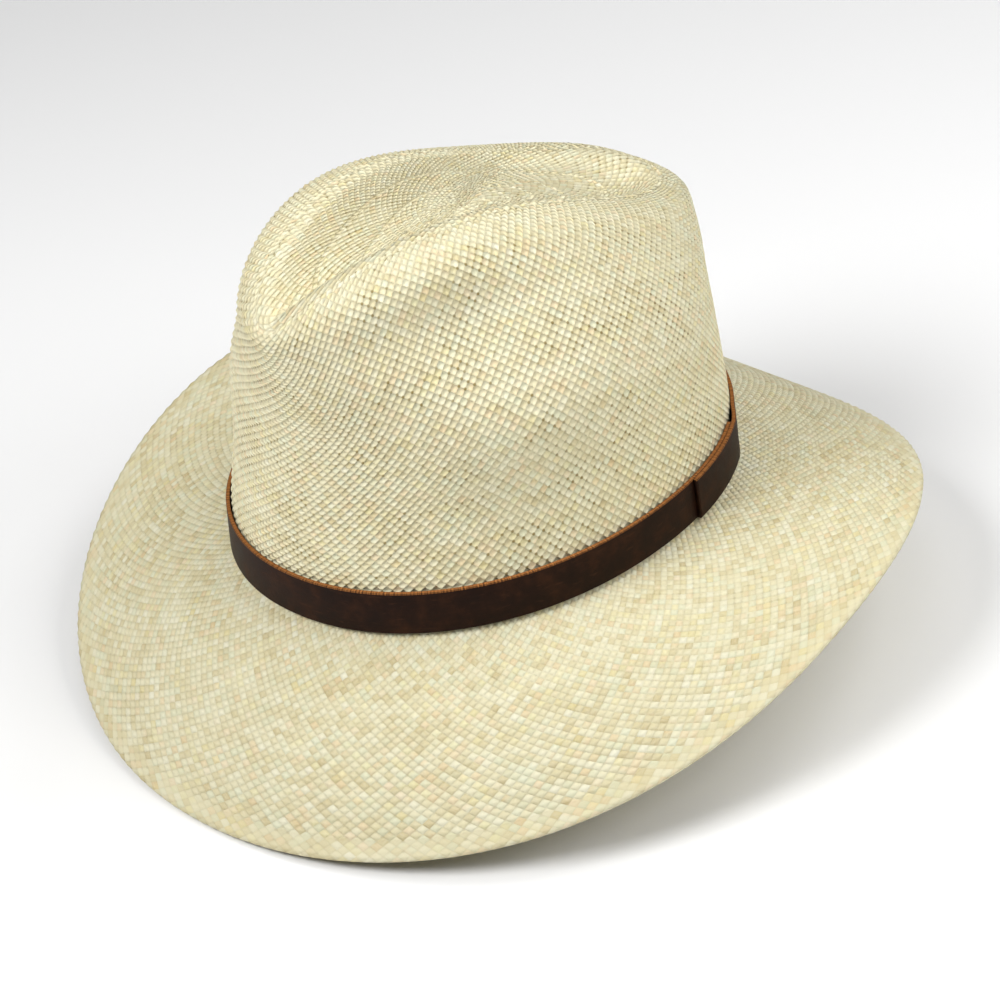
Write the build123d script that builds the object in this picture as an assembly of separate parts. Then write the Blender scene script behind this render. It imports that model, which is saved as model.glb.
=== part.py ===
from build123d import *
import os
from math import atan2, cos, degrees, exp, hypot, pi, radians, sin, sqrt

# A woven straw hat with a creased crown, a dipped brim, a leather hat band and a sewn-in sweatband.
# Frame: the origin is the centre of the head opening, on the line where crown and brim meet.
# +Z is up through the crown, -Y is the front of the hat and +X is the wearer's left.
# Angles round the hat are measured from +X: -90 is the front, +90 the back.

# ---- head oval, straw outside, at the foot of the crown ----
HALF_LENGTH = 103.3          # centre to front or back
HALF_WIDTH = 87.2            # centre to side
OVAL_POWER = 2.1             # a little squarer than an ellipse
REAR_FULLNESS = 0.02         # the back of the head oval is wider than the front
STRAW = 1.2                  # thickness of the weave

# ---- crown ----
CREST_HALF_WIDTH = 30.0      # crest = highest line of the broad rolled edge round the dent
CREST_FRONT = -90.7
CREST_BACK = 94.0
CREST_POWER = 2.25           # at the front
CREST_BACK_POWER = 2.55      # squarer at the back
CREST_TEARDROP = 0.5         # the dent is wider at the back than at the front
CREST_HEIGHT = 118.3         # mean height of the crest
CREST_TILT = -15.0           # the back of the crest is lower than the front
CREST_SADDLE = 10.3          # the sides stand above the front and the back
CREST_PEAK = -3.8            # moves the highest point forward
CREST_CORNERS = 2.0          # the back corners stand a little lower than the middle of the back
ROLL_OUT = 20.5              # shoulder outside the crest, outwards, at the sides
ROLL_OUT_ENDS = 5.0          # less at the front and the back
ROLL_OUT_CORNERS = -0.25     # between sides and ends
ROLL_OUT_CORNERS_BACK = 1.75
ROLL_DOWN = 3.5              # and downwards
WAIST_HEIGHT = 74.0          # height where the wall starts to lean in
WAIST_SIDE = 0.945           # size of the wall there, as a share of the head oval
WAIST_FRONT = 0.875
WAIST_BACK = 0.962
WAIST_TAPER = 0.026          # wider at the back than at the front
UPPER_SHARE = 0.655          # place of the upper wall between waist and shoulder
WALL_BULGE_FRONT = 8.0       # the upper wall is rounded, not straight
WALL_BULGE_BACK = 1.7
PINCH_DEPTH = 9.0            # thumb hollow on each side of the front
PINCH_ANGLE = -28.0
PINCH_SPREAD = 22.0
WALL_LEAN = 3.9              # lean of the lower wall, 44 mm up
WALL_LEAN_FRONT = 2.75       # more at the front, less at the back
DENT_FLOOR = 116.5           # height of the dent's floor in the middle
DENT_FLOOR_DROP = 0.03       # fall of the floor per mm towards the back
DENT_FLOOR_CURVE = 0.0033    # it falls faster in the back half
DENT_MIDDLE = 8.0            # middle of the dent, behind the middle of the crest

# ---- brim ----
BREAK_RADIUS = 2.5           # turn between wall and brim
BRIM_WIDTH = 76.5            # mean width from the break, measured along the weave
BRIM_FRONT_EXTRA = 9.0       # the front is wider than the back
BRIM_SIDE_EXTRA = 1.4
BRIM_DIP = 22.0              # mean slope down, degrees
BRIM_DIP_FRONT = 10.0        # more at the front than at the back
BRIM_DIP_ENDS = 15.3         # front and back dip, the sides stay nearly flat
BRIM_DIP_CORNERS = 4.5
DIP_AT_BREAK = 0.62          # share of the slope at the break
DIP_GROWTH = 0.76            # extra share at the edge

# ---- leather hat band ----
BAND_FOOT = 2.2              # height of the band's lower edge
BAND_HEIGHT = 17.0
BAND_LEATHER = 1.6
BAND_GAP = 0.45              # clear of the straw, so that the band lifts off over the crown
BAND_LEAN = 0.75             # the top of the band lies this much further in
BAND_LEAN_FRONT = 0.55       # more at the front, less at the back
LAP_ANGLE = 13.5             # where the lapped end is cut, on the wearer's left
LAP_LENGTH = 35.0            # length of the lap round the hat
LAP_TAIL = 8.0               # length over which the lap comes back down to the straw

# ---- sweatband and what is sewn to it ----
SWEATBAND_HEIGHT = 34.0
SWEATBAND_LEATHER = 1.0
SWEATBAND_GAP = 0.35         # between the sweatband and the straw, at its foot
SWEATBAND_LEAN = 2.8         # the free upper edge stands off the straw
SWEATBAND_LEAN_FRONT = 1.6   # more at the front, less at the back
SWEATBAND_FOOT = -1.4
REED_RADIUS = 0.9            # reed rolled into the foot of the sweatband
STITCH_COUNT = 150
STITCH_LENGTH = 2.6
STITCH_RADIUS = 0.25
SEAM_STITCHES = 9
BOW_WIDTH = 26.0
BOW_HEIGHT = 10.0
RIBBON = 0.7
LABEL_WIDTH = 16.0
LABEL_HEIGHT = 11.0
LABEL_THICKNESS = 0.4
LABEL_ANGLE = 104.0          # just to the wearer's right of the back
CLEAR = 0.03                 # between pieces that lie on each other

RING_POINTS = 40             # points on each ring round the hat


def oval(angle, half_length, half_width, power=OVAL_POWER, fullness=REAR_FULLNESS):
    """Point on a head-shaped oval."""
    c, s = cos(radians(angle)), sin(radians(angle))
    k = (abs(c) ** power + abs(s) ** power) ** (-1 / power)
    return half_width * k * c * (1 + fullness * s), half_length * k * s


def plan_normal(angle):
    """Outward direction, seen from above, at the foot of the crown."""
    x0, y0 = oval(angle - 0.5, HALF_LENGTH, HALF_WIDTH)
    x1, y1 = oval(angle + 0.5, HALF_LENGTH, HALF_WIDTH)
    size = hypot(x1 - x0, y1 - y0)
    return (y1 - y0) / size, (x0 - x1) / size


def off_wall(angle, out, height):
    """Point a given distance outside the foot of the crown."""
    x, y = oval(angle, HALF_LENGTH, HALF_WIDTH)
    nx, ny = plan_normal(angle)
    return x + out * nx, y + out * ny, height


def crest(angle):
    """Highest line round the centre dent: a teardrop, narrow at the front."""
    half = (CREST_BACK - CREST_FRONT) / 2
    rear = 0.5 + 0.5 * sin(radians(angle))
    power = CREST_POWER + (CREST_BACK_POWER - CREST_POWER) * rear
    x, y = oval(angle, half, CREST_HALF_WIDTH, power, CREST_TEARDROP)
    a = radians(angle)
    z = CREST_HEIGHT + CREST_TILT * sin(a) + CREST_SADDLE * cos(2 * a) + CREST_PEAK * sin(3 * a)
    return x, y + (CREST_BACK + CREST_FRONT) / 2, z + CREST_CORNERS * rear * cos(4 * a)


def shoulder(angle):
    """Where the rolled edge of the dent turns into the wall."""
    x0, y0, _ = crest(angle - 1)
    x1, y1, _ = crest(angle + 1)
    size = hypot(x1 - x0, y1 - y0)
    x, y, z = crest(angle)
    out = ROLL_OUT + (ROLL_OUT_ENDS - ROLL_OUT) * sin(radians(angle)) ** 4
    corners = ROLL_OUT_CORNERS + ROLL_OUT_CORNERS_BACK * sin(radians(angle))
    out += corners * sin(radians(2 * angle)) ** 2
    return x + out * (y1 - y0) / size, y - out * (x1 - x0) / size, z - ROLL_DOWN


def waist(angle):
    """The wall where it starts to lean in."""
    x, y = oval(angle, HALF_LENGTH, HALF_WIDTH)
    middle = (WAIST_BACK + WAIST_FRONT) / 2
    end = middle + (WAIST_BACK - WAIST_FRONT) / 2 * y / HALF_LENGTH
    return x * WAIST_SIDE * (1 + WAIST_TAPER * sin(radians(angle))), y * end, WAIST_HEIGHT


def upper_wall(angle):
    """The rounded part between waist and shoulder, with the thumb hollows."""
    low, high = waist(angle), shoulder(angle)
    x, y, z = [(1 - UPPER_SHARE) * p + UPPER_SHARE * q for p, q in zip(low, high)]
    nx, ny = plan_normal(angle)
    side = degrees(atan2(sin(radians(angle)), abs(cos(radians(angle)))))
    pinch = PINCH_DEPTH * exp(-((side - PINCH_ANGLE) / PINCH_SPREAD) ** 2)
    rear = 0.5 + 0.5 * sin(radians(angle))
    bulge = WALL_BULGE_FRONT + (WALL_BULGE_BACK - WALL_BULGE_FRONT) * rear
    bulge = bulge * abs(cos(radians(angle))) ** 1.5 - pinch
    return x + bulge * nx, y + bulge * ny, z


def dent(angle, share, depth):
    """Ring inside the crest, at a share of its size, sunk by a share of the dent's depth."""
    x, y, z = crest(angle)
    middle = (CREST_BACK + CREST_FRONT) / 2 + DENT_MIDDLE
    px, py = x * share, middle + (y - middle) * share
    floor = DENT_FLOOR - DENT_FLOOR_DROP * py - DENT_FLOOR_CURVE * max(py, 0.0) ** 2
    return px, py, z + (floor - z) * depth


def dent_middle(angle, share):
    """Small flat ring in the middle of the dent's floor."""
    middle = (CREST_BACK + CREST_FRONT) / 2 + DENT_MIDDLE
    x, y, _ = dent(angle, share, 1.0)
    floor = DENT_FLOOR - DENT_FLOOR_DROP * middle - DENT_FLOOR_CURVE * middle ** 2
    return x, y, floor - (DENT_FLOOR_DROP + 2 * DENT_FLOOR_CURVE * middle) * (y - middle)


def dip(angle):
    """Slope of the brim, degrees down."""
    a = radians(angle)
    ends = -BRIM_DIP_ENDS * cos(2 * a)
    return BRIM_DIP - BRIM_DIP_FRONT * sin(a) + ends - BRIM_DIP_CORNERS * sin(3 * a)


def brim(angle, share):
    """Point on the brim, at a share of its width from the break."""
    a = radians(angle)
    width = BRIM_WIDTH - BRIM_FRONT_EXTRA * sin(a) + BRIM_SIDE_EXTRA * cos(2 * a)
    slope = dip(angle)
    turn = radians(90 - slope * DIP_AT_BREAK)
    out = BREAK_RADIUS * (1 - cos(turn))
    height = BREAK_RADIUS * (1 - sin(turn))
    steps = 12
    for i in range(steps):
        here = (i + 0.5) / steps * share
        lean = radians(slope * (DIP_AT_BREAK + DIP_GROWTH * here))
        out += cos(lean) * width * share / steps
        height -= sin(lean) * width * share / steps
    return off_wall(angle, out, height)


def turn_point(angle, share):
    """Point on the small radius between wall and brim."""
    turn = radians(90 - dip(angle) * DIP_AT_BREAK) * share
    return off_wall(angle, BREAK_RADIUS * (1 - cos(turn)), BREAK_RADIUS * (1 - sin(turn)))


def low_wall(angle, height, lean, sway):
    return off_wall(angle, -lean + sway * sin(radians(angle)), height)


# The outer skin, ring by ring, from the middle of the dent to the edge of the brim.
SKIN = [
    lambda a: dent_middle(a, 0.06),
    lambda a: dent(a, 0.25, 1.0),
    lambda a: dent(a, 0.45, 0.93),
    lambda a: dent(a, 0.66, 0.62),
    lambda a: dent(a, 0.85, 0.20),
    crest,
    shoulder,
    upper_wall,
    waist,
    lambda a: low_wall(a, 44, WALL_LEAN, WALL_LEAN_FRONT),
    lambda a: low_wall(a, 20, 0.9, 0.8),
    lambda a: low_wall(a, 8, 0.1, 0.0),
    lambda a: turn_point(a, 0.0),
    lambda a: turn_point(a, 0.5),
    lambda a: turn_point(a, 1.0),
    lambda a: brim(a, 0.12),
    lambda a: brim(a, 0.4),
    lambda a: brim(a, 0.7),
    lambda a: brim(a, 1.0),
]

SMOOTH_RUNS = [(0, 5), (5, 12), (12, 14), (14, 18)]


def angles():
    """Evenly spaced angles round the hat, starting at the back."""
    return [90 + 360 * i / RING_POINTS for i in range(RING_POINTS)]


def ring(points):
    return Wire([Edge.make_spline([Vector(*p) for p in points], periodic=True)])


def skin_grid():
    return [[Vector(*row(a)) for a in angles()] for row in SKIN]


def inner_grid(outer):
    """The same rings, one thickness of straw further in, square to the skin."""
    grid = []
    for k, row in enumerate(outer):
        above = outer[max(k - 1, 0)]
        below = outer[min(k + 1, len(outer) - 1)]
        line = []
        for i, point in enumerate(row):
            along = row[(i + 1) % RING_POINTS] - row[i - 1]
            down = below[i] - above[i]
            normal = down.cross(along).normalized() if k else Vector(0, 0, 1)
            line.append(point - normal * STRAW)
        grid.append(line)
    floor = grid[0]
    shift = sum(p.Z for p in grid[1]) / RING_POINTS - sum(p.Z for p in outer[1]) / RING_POINTS
    grid[0] = [Vector(p.X, p.Y, q.Z + shift) for p, q in zip(floor, outer[0])]
    return grid


def straw_body():
    """Crown and brim, woven in one piece."""
    outer = [ring([(p.X, p.Y, p.Z) for p in row]) for row in skin_grid()]
    inner = [ring([(p.X, p.Y, p.Z) for p in row]) for row in inner_grid(skin_grid())]
    faces = []
    for rings in (outer, inner):
        faces.append(Face(rings[0]))
        for first, last in SMOOTH_RUNS:
            faces += Shell.make_loft(rings[first:last + 1]).faces()
    faces += Shell.make_loft([outer[-1], inner[-1]], ruled=True).faces()
    return Solid(Shell(faces))


def hoop(section, sway=0.0):
    """Closed band round the hat from a polygon of (out, height) corners.

    The corners at the top lie further in at the front and further out at the back, by sway.
    """
    low, high = min(z for _, z in section), max(z for _, z in section)
    rings = []
    for out, z in section:
        lean = sway * (z - low) / (high - low)
        rings.append(ring([off_wall(a, out + lean * sin(radians(a)), z) for a in angles()]))
    faces = []
    for first, second in zip(rings, rings[1:] + rings[:1]):
        faces += Shell.make_loft([first, second], ruled=True).faces()
    return Solid(Shell(faces))


def arc_angle(start, length):
    """Angle reached after a given length round the foot of the crown."""
    angle, gone = start, 0.0
    x, y = oval(angle, HALF_LENGTH, HALF_WIDTH)
    while gone < length:
        angle += 0.25
        x1, y1 = oval(angle, HALF_LENGTH, HALF_WIDTH)
        gone += hypot(x1 - x, y1 - y)
        x, y = x1, y1
    return angle


def hat_band():
    """Leather strap in a loop. Its cut end laps over the start on the wearer's left."""
    foot, top = BAND_FOOT, BAND_FOOT + BAND_HEIGHT
    inside = BAND_GAP
    loop = hoop([
        (inside, foot),
        (inside + BAND_LEATHER, foot),
        (inside + BAND_LEATHER - BAND_LEAN, top),
        (inside - BAND_LEAN, top),
    ], BAND_LEAN_FRONT)
    end = arc_angle(LAP_ANGLE, LAP_LENGTH)
    tail = arc_angle(LAP_ANGLE, LAP_LENGTH + LAP_TAIL)
    steps = 8
    wires = []
    for lean, sway, height in ((0.0, 0.0, foot), (BAND_LEAN, BAND_LEAN_FRONT, top)):
        low, high = inside + 0.6 * BAND_LEATHER - lean, inside + 2 * BAND_LEATHER - lean
        spread = [LAP_ANGLE + (end - LAP_ANGLE) * i / steps for i in range(steps + 1)]
        over = [Vector(*off_wall(a, high + sway * sin(radians(a)), height)) for a in spread]
        under = [Vector(*off_wall(a, low + sway * sin(radians(a)), height)) for a in spread]
        tip = Vector(*off_wall(tail, low + 0.2 + sway * sin(radians(tail)), height))
        wires.append(Wire([
            Edge.make_spline(over),
            Edge.make_line(over[-1], tip),
            Edge.make_line(tip, under[-1]),
            Edge.make_spline(under[::-1]),
            Edge.make_line(under[0], over[0]),
        ]))
    return loop + Solid.make_loft(wires, ruled=True)


def sweatband_face(height, angle=0.0):
    """Distance of the sweatband's straw side from the foot of the wall, at a height."""
    share = (height - SWEATBAND_FOOT) / SWEATBAND_HEIGHT
    lean = SWEATBAND_LEAN - SWEATBAND_LEAN_FRONT * sin(radians(angle))
    return -STRAW - SWEATBAND_GAP - lean * share


def sweatband():
    """Leather strip inside the head opening."""
    foot, top = SWEATBAND_FOOT, SWEATBAND_FOOT + SWEATBAND_HEIGHT
    near, far = sweatband_face(foot), sweatband_face(top)
    return hoop([
        (near, foot),
        (far, top),
        (far - SWEATBAND_LEATHER, top),
        (near - SWEATBAND_LEATHER, foot),
    ], SWEATBAND_LEAN_FRONT)


def reed_centre():
    return sweatband_face(SWEATBAND_FOOT) - SWEATBAND_LEATHER / 2, SWEATBAND_FOOT - REED_RADIUS - 0.05


def sweatband_reed():
    """Reed that stiffens the foot of the sweatband, in its rolled edge."""
    out, height = reed_centre()
    sides = 8
    section = []
    for i in range(sides):
        a = 2 * pi * (i + 0.5) / sides
        section.append((out + REED_RADIUS * cos(a), height + REED_RADIUS * sin(a)))
    return hoop(section)


def inside_face(height, angle=0.0):
    return sweatband_face(height, angle) - SWEATBAND_LEATHER


def rod(start, end, radius):
    """Short thread or cord from one point to another."""
    return Cylinder(radius, (end - start).length).locate(
        Location(Plane(origin=(start + end) / 2, z_dir=(end - start).normalized()))
    )


def stitches(height, count):
    """Running stitch round the sweatband, on the side that meets the head."""
    threads = []
    for i in range(count):
        angle = 90 + 360 * (i + 0.5) / count
        reach = degrees(STITCH_LENGTH / 2 / (HALF_LENGTH + HALF_WIDTH) * 2)
        out = inside_face(height, angle) - STITCH_RADIUS - CLEAR
        start = Vector(*off_wall(angle - reach, out, height))
        end = Vector(*off_wall(angle + reach, out, height))
        threads.append(rod(start, end, STITCH_RADIUS))
    return Compound(threads)


def back_point(x, depth, height):
    """Point near the middle of the back, a depth in front of the sweatband's inner side."""
    angle = 90 - degrees(x / HALF_WIDTH)
    px, py, pz = off_wall(angle, inside_face(height, angle) - depth, height)
    return Vector(px, py, pz)


def seam_stitches():
    """Zigzag that joins the two ends of the sweatband at the middle of the back."""
    low, high = SWEATBAND_FOOT + 14, SWEATBAND_FOOT + SWEATBAND_HEIGHT - 2
    threads = []
    for i in range(SEAM_STITCHES):
        z0 = low + (high - low) * i / SEAM_STITCHES
        z1 = low + (high - low) * (i + 1) / SEAM_STITCHES
        side = 1.6 if i % 2 else -1.6
        start = back_point(-side, STITCH_RADIUS + CLEAR, z0)
        end = back_point(side, STITCH_RADIUS + CLEAR, z1)
        threads.append(rod(start, end, STITCH_RADIUS))
    return Compound(threads)


def sweatband_bow():
    """Small flat ribbon bow over the foot of the back seam."""
    height = SWEATBAND_FOOT + 6.5
    face = HALF_LENGTH + inside_face(height, 90)
    half, knot, stand_off = BOW_WIDTH / 2, 2.4, 1.5
    plane = Plane(origin=(0, face - stand_off, height), x_dir=(-1, 0, 0), z_dir=(0, -1, 0))
    loops = Polyline(
        (knot, 1.6), (half - 1.5, BOW_HEIGHT / 2), (half, 0), (half - 1.5, -BOW_HEIGHT / 2), (knot, -1.6),
        (-knot, -1.6), (-half + 1.5, -BOW_HEIGHT / 2), (-half, 0), (-half + 1.5, BOW_HEIGHT / 2),
        (-knot, 1.6), close=True,
    )
    flat = extrude(plane * make_face(loops), amount=RIBBON)
    depth = stand_off + 2 * RIBBON - 0.4
    centre = plane * Pos(0, 0, 2 * RIBBON - depth / 2) * Box(2 * knot, 4.6, depth)
    return flat + centre


def size_label():
    """Plain blank label on the sweatband, near the back."""
    height = SWEATBAND_FOOT + 19
    stand_off = 0.8
    x, y, z = off_wall(LABEL_ANGLE, inside_face(height, LABEL_ANGLE) - stand_off, height)
    nx, ny = plan_normal(LABEL_ANGLE)
    plane = Plane(origin=(x, y, z), x_dir=(-ny, nx, 0), z_dir=(-nx, -ny, 0))
    return plane * Pos(0, 0, LABEL_THICKNESS / 2) * Box(LABEL_WIDTH, LABEL_HEIGHT, LABEL_THICKNESS)


NODES = {
    "straw_body": straw_body,
    "hat_band": hat_band,
    "sweatband": sweatband,
    "sweatband_reed": sweatband_reed,
    "sweatband_stitches": lambda: stitches(SWEATBAND_FOOT + 3.0, STITCH_COUNT),
    "sweatband_seam_stitches": seam_stitches,
    "sweatband_bow": sweatband_bow,
    "size_label": size_label,
}

os.makedirs("parts", exist_ok=True)
for name, make in NODES.items():
    export_step(make(), f"parts/{name}.step")
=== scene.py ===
from math import cos, pi, radians, sin

import bpy
import numpy as np
from mathutils import Matrix, Vector


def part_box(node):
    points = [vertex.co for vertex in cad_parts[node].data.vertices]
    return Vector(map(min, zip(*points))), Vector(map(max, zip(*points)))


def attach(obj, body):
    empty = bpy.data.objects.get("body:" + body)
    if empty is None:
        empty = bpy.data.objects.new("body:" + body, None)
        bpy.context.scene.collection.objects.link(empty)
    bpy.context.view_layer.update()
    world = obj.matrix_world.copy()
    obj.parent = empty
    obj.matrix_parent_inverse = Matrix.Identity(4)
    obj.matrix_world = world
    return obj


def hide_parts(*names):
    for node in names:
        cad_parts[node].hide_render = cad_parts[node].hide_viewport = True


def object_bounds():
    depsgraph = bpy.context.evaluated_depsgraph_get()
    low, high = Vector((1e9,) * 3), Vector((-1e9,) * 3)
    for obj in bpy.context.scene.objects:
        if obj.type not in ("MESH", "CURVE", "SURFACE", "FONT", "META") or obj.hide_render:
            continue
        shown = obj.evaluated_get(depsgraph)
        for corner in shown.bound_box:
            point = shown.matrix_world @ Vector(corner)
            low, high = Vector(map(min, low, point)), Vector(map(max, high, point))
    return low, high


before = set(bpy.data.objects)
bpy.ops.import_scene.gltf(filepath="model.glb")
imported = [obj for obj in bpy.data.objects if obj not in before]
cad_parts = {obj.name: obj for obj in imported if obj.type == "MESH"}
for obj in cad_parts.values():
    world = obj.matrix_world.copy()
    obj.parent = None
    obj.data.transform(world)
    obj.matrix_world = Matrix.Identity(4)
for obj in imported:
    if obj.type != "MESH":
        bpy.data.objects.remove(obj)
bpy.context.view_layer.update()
MM = 0.001
rng = np.random.default_rng(58)

# ---------------------------------------------------------------- the hat's shape, in millimetres

HALF_LENGTH, HALF_WIDTH = 103.3, 87.2
STRAW = 1.2
BAND_FOOT, BAND_HEIGHT, BAND_LEATHER = 2.2, 17.0, 1.6
BREAK_RADIUS = 2.5
BAND_GAP = 0.45                # between straw and band
BAND_LEAN, BAND_LEAN_FRONT = 0.75, 0.55
LAP_CUT, LAP_SPAN, LAP_EASE = radians(13.5), radians(22.5), radians(9)
SWEATBAND_FOOT, SWEATBAND_HEIGHT, SWEATBAND_LEATHER = -1.4, 34.0, 1.0
SWEATBAND_GAP = 0.35           # between straw and sweatband
SWEATBAND_LEAN, SWEATBAND_LEAN_FRONT = 2.8, 1.6
CREST_LENGTH, CREST_WIDTH, CREST_MIDDLE = 92.35, 30.0, 1.65    # half length, half width, middle
DENT_MIDDLE = 9.65
WAIST_HEIGHT = 74.0
FOOT_SLOPE = 0.62              # share of the brim's slope at its inner edge
SLOPE_GAIN = 0.76              # and what it gains by the outer edge
BRIM_STEPS = 12
LABEL_ANGLE, LABEL_WIDTH, LABEL_HEIGHT, LABEL_MIDDLE = radians(104.0), 16.0, 11.0, 19.0


def oval(a, half_length, half_width, power=2.1, fullness=0.02):
    c, s = np.cos(a), np.sin(a)
    k = (np.abs(c) ** power + np.abs(s) ** power) ** (-1 / power)
    return half_width * k * c * (1 + fullness * s), half_length * k * s


def off_wall(a, out, height):
    """Points a given distance outside the foot of the crown."""
    step = 0.009
    x0, y0 = oval(a - step, HALF_LENGTH, HALF_WIDTH)
    x1, y1 = oval(a + step, HALF_LENGTH, HALF_WIDTH)
    size = np.hypot(x1 - x0, y1 - y0)
    x, y = oval(a, HALF_LENGTH, HALF_WIDTH)
    return np.stack([x + out * (y1 - y0) / size, y - out * (x1 - x0) / size, height + 0 * x], -1)


def crest(a):
    """Highest line of the rolled edge round the dent."""
    rear = 0.5 + 0.5 * np.sin(a)
    x, y = oval(a, CREST_LENGTH, CREST_WIDTH, 2.25 + 0.3 * rear, 0.5)
    z = 118.3 - 15.0 * np.sin(a) + 10.3 * np.cos(2 * a) - 3.8 * np.sin(3 * a)
    z = z + (np.cos(a) + 3.0 * np.cos(4 * a)) * rear
    return np.stack([x, y + CREST_MIDDLE, z], -1)


def shoulder(a):
    """Outer edge of the broad rolled rim."""
    p, q = crest(a - 0.0175), crest(a + 0.0175)
    size = np.hypot(q[..., 0] - p[..., 0], q[..., 1] - p[..., 1])
    out = 20.5 - 15.5 * np.sin(a) ** 4 + (1.25 * np.sin(a) - 0.75) * np.sin(2 * a) ** 2
    away = np.stack([(q[..., 1] - p[..., 1]) / size, -(q[..., 0] - p[..., 0]) / size], -1)
    move = np.concatenate([out[..., None] * away, (-3.5 + 0 * a)[..., None]], -1)
    return crest(a) + move


def waist(a):
    """Where the wall starts to lean in."""
    x, y = oval(a, HALF_LENGTH, HALF_WIDTH)
    x = x * 0.945 * (1 + 0.026 * np.sin(a))
    y = y * (0.9185 + 0.0435 * y / HALF_LENGTH)
    return np.stack([x, y, WAIST_HEIGHT + 0 * a], -1)


def upper_wall(a):
    """The rounded wall under the rim, with a thumb hollow on each side of the front."""
    blend = 0.345 * waist(a) + 0.655 * shoulder(a)
    side = np.degrees(np.arctan2(np.sin(a), np.abs(np.cos(a))))
    rear = 0.5 + 0.5 * np.sin(a)
    pinch = 9.0 * np.exp(-((side + 28) / 22) ** 2)
    bulge = (8.0 - 6.3 * rear) * np.abs(np.cos(a)) ** 1.5 - pinch
    return blend + off_wall(a, bulge, 0) - off_wall(a, 0, 0)


def low_wall(a, height, lean, sway):
    """The wall leans in more at the front than at the back."""
    return off_wall(a, -lean + sway * np.sin(a), height)


def dent(a, share, depth):
    """Ring inside the crest, at a share of its size, sunk by a share of the dent's depth."""
    p = crest(a)
    y = DENT_MIDDLE + (p[..., 1] - DENT_MIDDLE) * share
    floor = 116.5 - 0.03 * y - 0.0033 * np.maximum(y, 0) ** 2
    return np.stack([p[..., 0] * share, y, p[..., 2] + (floor - p[..., 2]) * depth], -1)


def dip(a):
    """How far the brim slopes down, in degrees."""
    return 22.0 - 10.0 * np.sin(a) - 15.3 * np.cos(2 * a) - 4.5 * np.sin(3 * a)


def turn_point(a, share):
    """The soft turn between the wall and the brim."""
    turn = np.radians(90 - dip(a) * FOOT_SLOPE) * share
    return off_wall(a, BREAK_RADIUS * (1 - np.cos(turn)), BREAK_RADIUS * (1 - np.sin(turn)))


def brim_point(a, share):
    """Point of the brim at a share of its width; the slope grows outwards."""
    width = 76.5 - 9.0 * np.sin(a) + 1.4 * np.cos(2 * a)
    slope = dip(a)
    turn = np.radians(90 - slope * FOOT_SLOPE)
    out = BREAK_RADIUS * (1 - np.cos(turn))
    height = BREAK_RADIUS * (1 - np.sin(turn))
    for i in range(BRIM_STEPS):
        lean = np.radians(slope * (FOOT_SLOPE + SLOPE_GAIN * (i + 0.5) / BRIM_STEPS * share))
        out = out + np.cos(lean) * width * share / BRIM_STEPS
        height = height - np.sin(lean) * width * share / BRIM_STEPS
    return off_wall(a, out, height)


CROWN_RINGS = [
    lambda a: dent(a, 0.01, 1.0),
    lambda a: dent(a, 0.25, 1.0),
    lambda a: dent(a, 0.45, 0.93),
    lambda a: dent(a, 0.66, 0.62),
    lambda a: dent(a, 0.85, 0.20),
    crest,
    shoulder,
    upper_wall,
    waist,
    lambda a: low_wall(a, 44.0, 3.9, 2.75),
    lambda a: low_wall(a, 20.0, 0.9, 0.8),
    lambda a: off_wall(a, -0.1, 8.0),
    lambda a: turn_point(a, 0.0),
]
BRIM_RINGS = [
    lambda a: turn_point(a, 0.0),
    lambda a: turn_point(a, 0.35),
    lambda a: turn_point(a, 0.7),
    lambda a: turn_point(a, 1.0),
    lambda a: brim_point(a, 0.06),
    lambda a: brim_point(a, 0.18),
    lambda a: brim_point(a, 0.4),
    lambda a: brim_point(a, 0.7),
    lambda a: brim_point(a, 1.0),
]


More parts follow.
